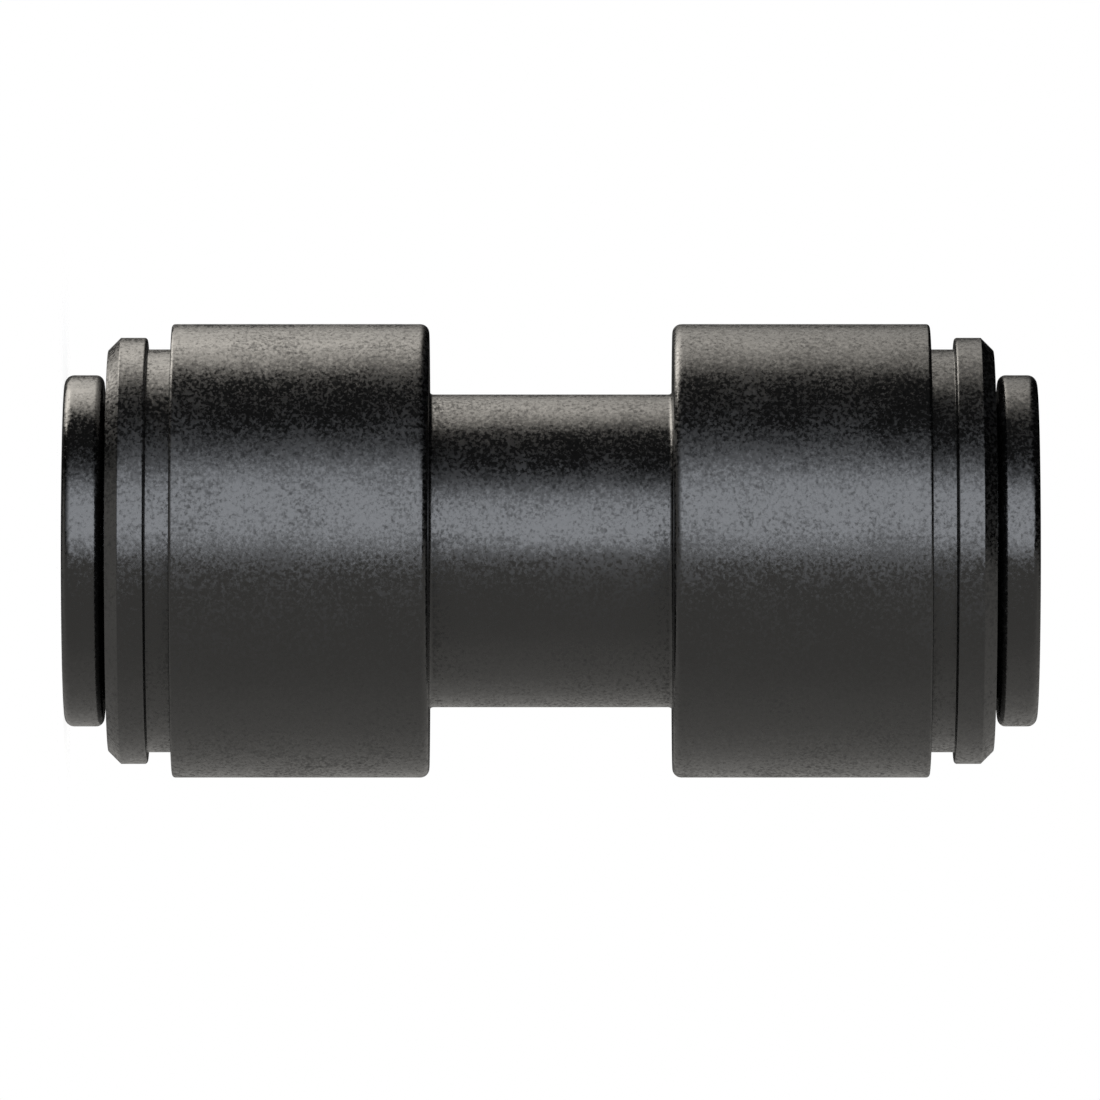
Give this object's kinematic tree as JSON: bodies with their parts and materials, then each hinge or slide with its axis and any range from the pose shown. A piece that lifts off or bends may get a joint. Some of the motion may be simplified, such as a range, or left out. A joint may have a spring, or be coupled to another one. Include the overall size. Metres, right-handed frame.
{
  "type": "straight push-in tube connector",
  "caption": "Straight push-in connector for round plastic tube: two drums on a neck, with a seal ring, a toothed collet and a push flange at each end.",
  "frame": {"origin": "middle of the tube stop, on the tube axis, which is also the middle of the whole connector", "axes": "+Z along the tube axis, out of the upper port; a grip tooth of each collet is centred on +X"},
  "size_m": [0.0224, 0.0224, 0.048],
  "materials": {
    "body": "moulded black acetal, fine spark-eroded grain",
    "cap": "moulded black acetal, fine spark-eroded grain",
    "collet": "moulded black acetal, fine spark-eroded grain",
    "seal": "smooth nitrile rubber, lightly greased",
    "tooth": "blanked spring stainless steel"
  },
  "bodies": {
    "fitting": {"connector_body": "body", "end_cap_lower": "cap", "end_cap_upper": "cap", "seal_ring_lower": "seal", "seal_ring_upper": "seal"},
    "lower_collet": {"collet_lower": "collet", "grip_tooth_lower_1": "tooth", "grip_tooth_lower_2": "tooth", "grip_tooth_lower_3": "tooth", "grip_tooth_lower_4": "tooth", "grip_tooth_lower_5": "tooth", "grip_tooth_lower_6": "tooth", "grip_tooth_lower_7": "tooth", "grip_tooth_lower_8": "tooth"},
    "upper_collet": {"collet_upper": "collet", "grip_tooth_upper_1": "tooth", "grip_tooth_upper_2": "tooth", "grip_tooth_upper_3": "tooth", "grip_tooth_upper_4": "tooth", "grip_tooth_upper_5": "tooth", "grip_tooth_upper_6": "tooth", "grip_tooth_upper_7": "tooth", "grip_tooth_upper_8": "tooth"}
  },
  "joints": [
    {"name": "lower_collet_slide", "type": "slide", "parent": "fitting", "child": "lower_collet", "axis": [0, 0, -1], "range_m": [-0.00018, 0.0015]},
    {"name": "upper_collet_slide", "type": "slide", "parent": "fitting", "child": "upper_collet", "axis": [0, 0, 1], "range_m": [-0.00018, 0.0015]}
  ]
}
